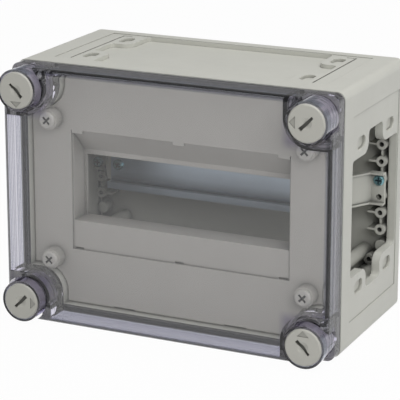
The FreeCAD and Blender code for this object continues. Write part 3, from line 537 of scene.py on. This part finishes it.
# %% [markdown]
# ## Plated steel and rubber
#
# The rail is zinc plated: bright, a little blue, with a fine drawn grain along the length of
# the sheet. Stretching the coordinates of a noise makes such lines. The plating is a cloudy,
# half metallic skin, so it keeps some plain colour of its own, and painted shade darkens it in
# the folds.
# The screws of the rail and the brackets have a bluish passivated coat, and the seal is matt
# black rubber.

# %% Plated steel and rubber
DRAWN = (3.0, 240.0, 240.0)
DRAWN_SCALE = 9.0
BLOTCH_SCALE = 60.0
FOLD_REACH = 0.009
FOLD_RANGE = (0.45, 0.97)
# Painted shade in the folds of the sheet.
FOLD_SHADE = seen(40, 50, 66)
BLOTCH_SHARE = 0.8
DRAWN_GLOSS = 0.2
DRAWN_STRENGTH = 0.2
DRAWN_DEPTH = 0.00003
PORE_SCALE = 1800.0
PORE_SHARE = 1.6
PORE_STRENGTH = 0.4
PORE_DEPTH = 0.0001
RUBBER_ROUGHNESS = 0.85
SHEET_EDGE = 0.0003


def plated(name, colour, roughness, metal):
    finish = Finish(name)
    lines = finish.noise(DRAWN_SCALE, detail=4.0, stretch=DRAWN)
    blotch = finish.noise(BLOTCH_SCALE, detail=4.0)
    unshaded_colour = finish.mix(blotch, shade(colour, BLOTCH_SHARE), colour)
    # Painted shade where the sheet faces itself in its folds.
    fold_shade = finish.ramp(openness(finish, FOLD_REACH), *FOLD_RANGE)
    finish.set(Base_Color=finish.mix(fold_shade, FOLD_SHADE, unshaded_colour), Metallic=metal)
    finish.set(Roughness=roughness + DRAWN_GLOSS * (lines - 0.5))
    surface(finish, lines, DRAWN_STRENGTH, DRAWN_DEPTH, SHEET_EDGE)


def rubber(name, colour):
    finish = Finish(name)
    pores = finish.noise(PORE_SCALE)
    mottled = finish.mix(pores, colour, shade(colour, PORE_SHARE))
    finish.set(Base_Color=mottled, Roughness=RUBBER_ROUGHNESS)
    surface(finish, pores, PORE_STRENGTH, PORE_DEPTH, SHEET_EDGE)


plated("zinc_plated_steel", seen(192, 205, 219), roughness=0.34, metal=0.6)
plated("zinc_plated_screws", seen(132, 174, 182), roughness=0.26, metal=0.9)
rubber("seal_rubber", seen(38, 38, 40))
made_here = [m.name for m in bpy.data.materials if not m.name.startswith("plain_")]
print("finishes", made_here)

# %% [markdown]
# ## Hand the finishes out
#
# The record of the part says which finish each solid takes, by the name of a slot. The
# materials above carry the same names, so a loop can dress every solid. The two brackets are an
# exception: they are coated in the colour of the box, so they take its finish.

# %% Dress the solids
finish_of = {part["node"]: part["material_slot"] for part in frame["record"]["subparts"]}
for bracket in ("rail_bracket_left", "rail_bracket_right"):
    finish_of[bracket] = "grey_moulding"
for name, solid in frame["nodes"].items():
    chosen = bpy.data.materials[finish_of[name]]
    solid.data.materials.clear()
    solid.data.materials.append(chosen)
print("dressed", len(finish_of), "solids in", len(set(finish_of.values())), "finishes")

# %% [markdown]
# ## Latches with clear marks
#
# The face of each latch has a screwdriver slot and an arrow. On the solids they are small and
# plain. Here each latch is copied and cut once more, so that the slot gets its full length and a
# wider mouth, and the arrow its full size. The cutters are prisms with their outlines in the
# plane of the face, drawn for the top left latch and turned for the others.

# %% Make a cutter
CUTTER_OVERSHOOT = 0.001
MM = 0.001


def prism(outline, slant, centre, face, depth):
    """A cutter whose outline, in millimetres, is turned by an angle and moved onto the face."""
    turned = Matrix.Rotation(math.radians(slant), 2)
    flat = [turned @ Vector(point) * MM + Vector(centre) for point in outline]
    corners = [(x, y, z) for y in (face - CUTTER_OVERSHOOT, face + depth) for x, z in flat]
    count = len(flat)
    sides = [(i, (i + 1) % count, count + (i + 1) % count, count + i) for i in range(count)]
    ends = [tuple(range(count)), tuple(reversed(range(count, 2 * count)))]
    data = bpy.data.meshes.new("cutter")
    data.from_pydata(corners, [], sides + ends)
    shape = bmesh.new()
    shape.from_mesh(data)
    bmesh.ops.recalc_face_normals(shape, faces=shape.faces)
    shape.to_mesh(data)
    shape.free()
    cutter = bpy.data.objects.new("cutter", data)
    bpy.context.collection.objects.link(cutter)
    return cutter


print("cutters start", CUTTER_OVERSHOOT / MM, "mm in front of the face")

# %% [markdown]
# A Boolean modifier does the cutting. The exact solver is slower than the fast one, but it keeps
# the clean edges that a small engraved mark needs. The cut mesh is read back from the evaluated
# object, so that the piece carries no modifier and no cutter is left in the scene.

# %% Cut the latches
LATCH_TURNS = {"top_left": 0.0, "top_right": -90.0, "bottom_right": 180.0, "bottom_left": 90.0}
SLOT_OUTLINE = ((-6.4, -0.9), (6.4, -1.3), (6.4, 1.3), (-6.4, 0.9))
SLOT_SLANT = -45.0
SLOT_DEPTH = 0.0019
ARROW_OUTLINE = ((-4.2, -7.9), (0.0, -12.2), (4.2, -7.9))
ARROW_DEPTH = 0.0005


def cut_latch(corner, turn):
    solid = frame["nodes"][f"latch_{corner}"]
    low, high = (Vector(place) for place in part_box(f"latch_{corner}"))
    centre = ((low.x + high.x) / 2.0, (low.z + high.z) / 2.0)
    piece = bpy.data.objects.new(f"marked_latch_{corner}", solid.data.copy())
    bpy.context.collection.objects.link(piece)
    cutters = [
        prism(SLOT_OUTLINE, SLOT_SLANT + turn, centre, low.y, SLOT_DEPTH),
        prism(ARROW_OUTLINE, turn, centre, low.y, ARROW_DEPTH),
    ]
    for cutter in cutters:
        step = piece.modifiers.new("cut", "BOOLEAN")
        step.operation = "DIFFERENCE"
        step.solver = "EXACT"
        step.object = cutter
    whole = piece.evaluated_get(bpy.context.evaluated_depsgraph_get())
    done = bpy.data.meshes.new_from_object(whole)
    piece.modifiers.clear()
    piece.data = done
    for cutter in cutters:
        bpy.data.objects.remove(cutter)
    done.materials.clear()
    done.materials.append(bpy.data.materials["latch_moulding"])
    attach(piece, f"latch_{corner}")
    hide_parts(f"latch_{corner}")
    return piece


for corner, turn in LATCH_TURNS.items():
    latch = cut_latch(corner, turn)
    print(latch.name, "has", len(latch.data.polygons), "faces")

# %% [markdown]
# ## Floor and background
#
# The box stands on a pale floor that runs off into white. To the camera, and in reflections
# and through the lid, most of the floor is plain white light. Diffuse light still sees grey
# paper, so the box keeps a soft shadow, and its undersides get little light from below.

# %% Floor
FLOOR_HALF = 6.0
FLOOR_DROP = 0.0002
PAPER_DARK = seen(208, 208, 208)
PAPER_LIGHT = seen(214, 214, 214)
PAPER_SCALE = 900.0
PAPER_ROUGHNESS = 0.9
FLOOR_WHITE = 0.97


def seen_directly(tree):
    """A socket that is 1 for what the camera sees, plain, in a mirror or through glass."""
    rays = tree.nodes.new("ShaderNodeLightPath")
    total = rays.outputs["Is Camera Ray"]
    for kind in ("Is Glossy Ray", "Is Transmission Ray"):
        step = tree.nodes.new("ShaderNodeMath")
        step.operation = "MAXIMUM"
        tree.links.new(total, step.inputs[0])
        tree.links.new(rays.outputs[kind], step.inputs[1])
        total = step.outputs[0]
    return total


def make_floor():
    data = bpy.data.meshes.new("floor")
    corners = [(-FLOOR_HALF, -FLOOR_HALF, 0), (FLOOR_HALF, -FLOOR_HALF, 0)]
    corners += [(FLOOR_HALF, FLOOR_HALF, 0), (-FLOOR_HALF, FLOOR_HALF, 0)]
    data.from_pydata(corners, [], [(0, 1, 2, 3)])
    floor = bpy.data.objects.new("floor", data)
    bpy.context.collection.objects.link(floor)
    floor.location.z = -FLOOR_DROP
    finish = Finish("floor_paper")
    fibres = finish.noise(PAPER_SCALE)
    finish.set(Base_Color=finish.mix(fibres, PAPER_DARK, PAPER_LIGHT), Roughness=PAPER_ROUGHNESS)
    white_share = Wire(finish, seen_directly(finish.tree)) * FLOOR_WHITE
    finish.give_way(white_share, finish.node("Emission", {}, Strength=1.0))
    data.materials.append(finish.material)


make_floor()
print("floor is", 2 * FLOOR_HALF, "m wide")

# %% [markdown]
# ## Lamps
#
# Soft light from large lamps suits grey plastic. The key light hangs high over the box, and a
# second lamp stands in front and to the right, where it reaches into the side opening and
# through the window.

# %% Lamps
AIM = Vector((0.0, 0.0, 0.09))


def add_lamp(name, place, size, power):
    data = bpy.data.lights.new(name, "AREA")
    data.shape = "SQUARE"
    data.size = size
    data.energy = power
    lamp = bpy.data.objects.new(name, data)
    bpy.context.collection.objects.link(lamp)
    lamp.location = place
    lamp.rotation_euler = (AIM - Vector(place)).to_track_quat("-Z", "Y").to_euler()
    print(name, "at", place, "gives", power, "W")


add_lamp("key_light", (0.5, 0.0, 1.7), size=0.9, power=13.5)
add_lamp("side_light", (1.05, -1.2, 0.95), size=0.8, power=9.5)

# %% [markdown]
# ## World
#
# The world adds an even glow, and it is white to the camera and through the lid. In mirrors the
# white backdrop ends a little above the horizon, and a dimmer room begins, which keeps polished
# plastic and plated steel from washing out.

# %% World
GLOW = 0.38
CEILING = 0.3
BACKDROP_TOP = (0.06, 0.2)
WHITE = (1.0, 1.0, 1.0, 1.0)


def make_world():
    world = bpy.data.worlds.new("studio")
    bpy.context.scene.world = world
    world.use_nodes = True
    tree = world.node_tree
    glow = tree.nodes["Background"]
    backdrop = tree.nodes.new("ShaderNodeBackground")
    room = tree.nodes.new("ShaderNodeBackground")
    for light in (glow, backdrop, room):
        light.inputs["Color"].default_value = WHITE
    glow.inputs["Strength"].default_value = GLOW
    towards = tree.nodes.new("ShaderNodeTexCoord")
    split = tree.nodes.new("ShaderNodeSeparateXYZ")
    height = tree.nodes.new("ShaderNodeMapRange")
    for socket, value in zip(height.inputs[1:5], (*BACKDROP_TOP, 1.0, CEILING)):
        socket.default_value = value
    rays = tree.nodes.new("ShaderNodeLightPath")
    mirrored = tree.nodes.new("ShaderNodeMixShader")
    both = tree.nodes.new("ShaderNodeMixShader")
    for source, target in (
        (towards.outputs["Generated"], split.inputs[0]),
        (split.outputs["Z"], height.inputs["Value"]),
        (height.outputs[0], room.inputs["Strength"]),
        (rays.outputs["Is Glossy Ray"], mirrored.inputs[0]),
        (backdrop.outputs[0], mirrored.inputs[1]),
        (room.outputs[0], mirrored.inputs[2]),
        (seen_directly(tree), both.inputs[0]),
        (glow.outputs[0], both.inputs[1]),
        (mirrored.outputs[0], both.inputs[2]),
        (both.outputs[0], tree.nodes["World Output"].inputs["Surface"]),
    ):
        tree.links.new(source, target)


make_world()
bpy.context.scene.view_settings.view_transform = "Standard"
print("world glows at", GLOW)

# %% [markdown]
# ## Sizes
#
# The dressed object is meant to fill the same box as its solids, whose size is printed when
# they are loaded.
